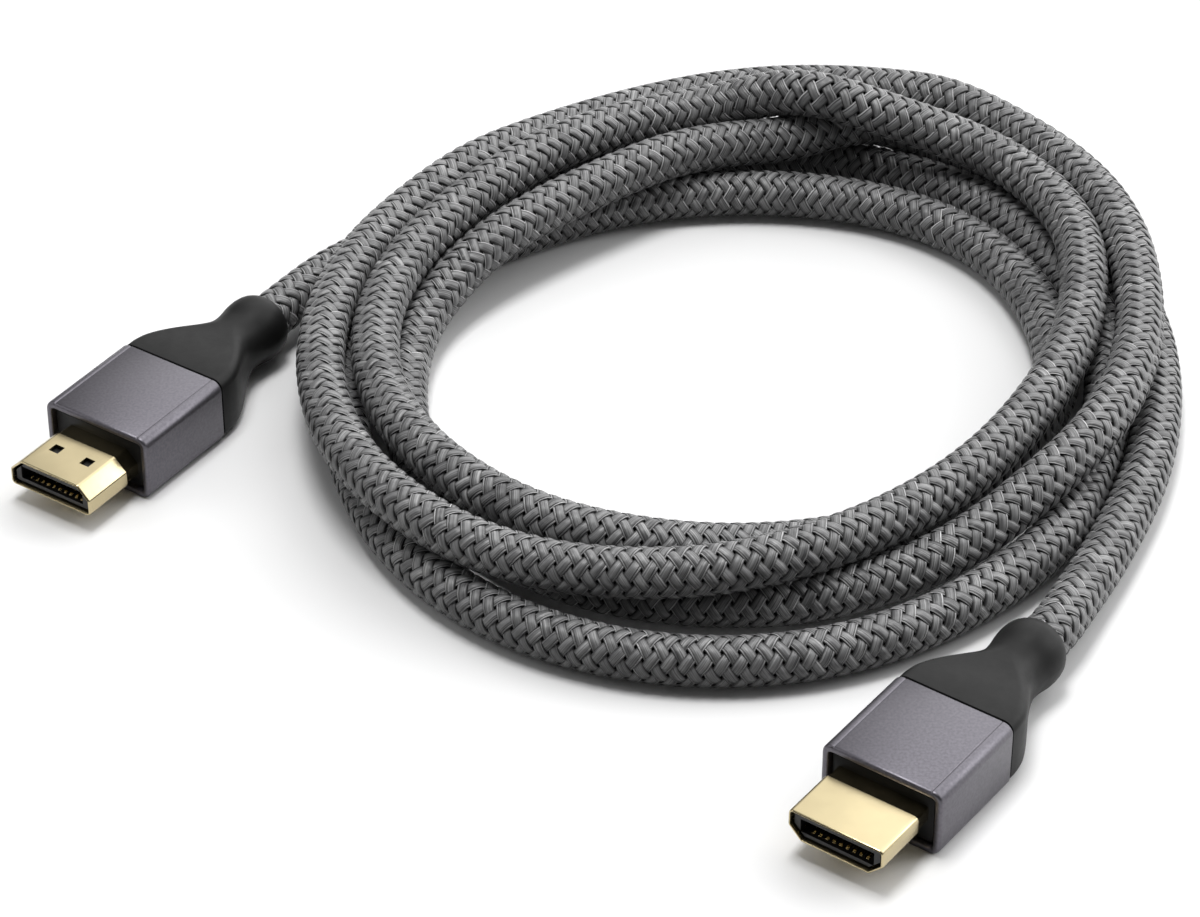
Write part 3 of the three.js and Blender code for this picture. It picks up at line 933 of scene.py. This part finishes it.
def contact_bar():
    """One bar, seen from the side as a flat line that bows and then hooks."""
    line = [(CONTACT_BACK, 0.0), (4.0, 0.0), (6.4, 0.02), (7.4, -0.04), (8.1, -0.06),
            (8.5, -0.02), (8.75, 0.1), (CONTACT_FRONT, 0.2)]
    thickness = CONTACT_OUTER - CONTACT_INNER
    half = CONTACT_WIDTH / 2
    inner = half - CONTACT_EDGE
    rings = []
    for x, rise in line:
        low = CONTACT_INNER + rise
        high, shoulder = low + thickness, low + CONTACT_EDGE
        rings.append([(x, -inner, low), (x, inner, low), (x, half, shoulder),
                      (x, half, high), (x, -half, high), (x, -half, shoulder)])
    points, faces = capped_skin(rings)
    return mesh_piece("contact_bar", points, faces, Matrix.Scale(MM, 4))


def contact_rows_tree():
    """Two rows of the bar: the wide one turned over, and one bar fewer in the other."""
    tree, given, result = new_tree("contact rows", [
        ("Bar", "Object"), ("In wide row", "Int"), ("Pitch", "Float"),
        ("Material", "Material")])
    take = given.outputs
    bar = wire(tree, "GeometryNodeObjectInfo", {"Object": take["Bar"]}).outputs["Geometry"]
    joined = wire(tree, "GeometryNodeJoinGeometry")
    for fewer, turn in ((0, math.pi), (1, 0.0)):
        count = maths(tree, "SUBTRACT", take["In wide row"], float(fewer))
        offset = wire(tree, "ShaderNodeCombineXYZ", {1: take["Pitch"]})
        first = maths(tree, "MULTIPLY", maths(tree, "SUBTRACT", count, 1.0),
                      maths(tree, "MULTIPLY", take["Pitch"], -0.5))
        start = wire(tree, "ShaderNodeCombineXYZ", {1: first})
        row = wire(tree, "GeometryNodeMeshLine", {
            "Count": count, "Start Location": start.outputs[0], "Offset": offset.outputs[0]})
        set_out = wire(tree, "GeometryNodeInstanceOnPoints", {
            "Points": row.outputs[0], "Instance": bar})
        turned = wire(tree, "GeometryNodeTransform", {
            "Geometry": set_out.outputs[0], "Rotation": (turn, 0, 0)})
        tree.links.new(turned.outputs[0], joined.inputs[0])
    end_tree(tree, given, result, joined.outputs[0])
    return tree


def contacts_piece(plug_name, plug, tree, bar):
    """Both rows of one plug. The tree works in metres, and so does the bar."""
    rows = mesh_piece("rows", [(0, 0, 0)], [])
    grow(rows, tree, {"Bar": bar, "In wide row": WIDE_ROW, "Pitch": CONTACT_PITCH * MM,
                      "Material": CONTACT_GOLD})
    rows = baked(rows, plug_name + "_contact_rows")
    rows.data.transform(plug_matrix(plug) @ Matrix.Scale(1 / MM, 4))
    rows.data.set_sharp_from_angle(angle=math.radians(40))
    return rows


# %% [markdown]
# Both plugs come from the same functions. Each finished piece is hung under the root body's
# empty, and the solids it replaces are hidden. The insulator needs nothing finer, so its
# solid stays and only gets a material.

# %% Put both plugs together
rows_tree = contact_rows_tree()
bar = contact_bar()
for plug_name, plug in PLUGS.items():
    shell = shell_piece(plug_name, plug)
    sleeve = sleeve_piece(plug_name, plug)
    boot = boot_piece(plug_name, plug)
    contacts = contacts_piece(plug_name, plug, rows_tree, bar)
    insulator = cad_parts[plug_name + "_insulator"]
    insulator.data.materials.clear()
    insulator.data.materials.append(INSULATOR)
    contact_nodes = [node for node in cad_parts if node.startswith(plug_name + "_contact")]
    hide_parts(plug_name + "_shell")
    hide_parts(plug_name + "_sleeve")
    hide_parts(plug_name + "_boot")
    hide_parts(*contact_nodes)
    for piece, slot in ((shell, "gold_shell"), (sleeve, "grey_sleeve"), (boot, "black_boot"),
                        (contacts, "gold_contact")):
        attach(piece, "root")
bpy.data.objects.remove(bar, do_unlink=True)

# %% [markdown]
# The cord's core and its yarns are hung under the root body's empty too, as the plugs'
# pieces are, and the imported cable solids are hidden.

for piece in [core, *yarns]:
    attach(piece, "root")
    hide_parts("cable_lead_a", "cable_coil", "cable_lead_b")

# %% [markdown]
# A plain pale floor, and soft lights as in a studio: one above, and a weaker one on either
# side. The world is bright behind the coil and to its right and nearly dark in front, so the
# tops shine towards the camera and the near sides stay dark. The floor is left out of the
# bounce light, because it would brighten those dark sides from below.

# %% Floor and lights
FLOOR_HALF = 4.0
LIGHTS_AIM = Vector((0.02, 0.03, 0.0))
LIGHTS = [  # name, place and size in metres, power in watts
    ("top_light", (-0.05, 0.08, 0.95), (0.4, 0.28), 5.5),
    ("left_light", (-0.8, 0.15, 0.5), (0.5, 0.5), 1.5),
    ("right_light", (0.85, 0.2, 0.45), (0.4, 0.5), 1.5)]
BRIGHT_SIDE = (0.6, 0.65, 0.46)
GLOW_START = 0.4
DARK_STRENGTH = 0.08
BRIGHT_STRENGTH = 2.4


def floor_material():
    material, tree, shader = fresh_material(
        "pale_floor", {"Specular IOR Level": 0.1, "Roughness": 0.9})
    tone = ramp(tree, grain(tree, 6), [(0.3, (0.86, 0.86, 0.86)), (0.7, (0.9, 0.9, 0.9))])
    tree.links.new(tone, shader.inputs["Base Color"])
    return material


def soft_light(name, place, size, power):
    """A flat light of that size, turned to the coil."""
    data = bpy.data.lights.new(name, "AREA")
    data.shape = "RECTANGLE"
    data.size, data.size_y = size
    data.energy = power
    light = new_object(name, data)
    light.location = place
    light.rotation_euler = (LIGHTS_AIM - Vector(place)).to_track_quat("-Z", "Y").to_euler()


def studio_world():
    """A room that is bright behind the cable and dark in front of it."""
    world = bpy.data.worlds.new("studio")
    world.use_nodes = True
    tree = world.node_tree
    tree.nodes.clear()
    direction = wire(tree, "ShaderNodeTexCoord").outputs["Generated"]
    towards = wire(tree, "ShaderNodeVectorMath", {0: direction, 1: BRIGHT_SIDE},
                   operation="DOT_PRODUCT").outputs["Value"]
    glow = wire(tree, "ShaderNodeMapRange", {
        "Value": towards, "From Min": GLOW_START, "From Max": 1.0, "To Min": DARK_STRENGTH,
        "To Max": BRIGHT_STRENGTH}, interpolation_type="SMOOTHSTEP").outputs["Result"]
    light = wire(tree, "ShaderNodeBackground", {"Color": (1, 1, 1, 1), "Strength": glow})
    output = wire(tree, "ShaderNodeOutputWorld")
    tree.links.new(light.outputs[0], output.inputs["Surface"])
    return world


floor = mesh_piece(
    "studio_floor",
    [(-FLOOR_HALF, -FLOOR_HALF, 0), (FLOOR_HALF, -FLOOR_HALF, 0),
     (FLOOR_HALF, FLOOR_HALF, 0), (-FLOOR_HALF, FLOOR_HALF, 0)], [(0, 1, 2, 3)])
floor.data.materials.append(floor_material())
floor.visible_diffuse = False
for light_name, place, size, power in LIGHTS:
    soft_light(light_name, place, size, power)
bpy.context.scene.world = studio_world()
bpy.context.scene.view_settings.view_transform = "Standard"
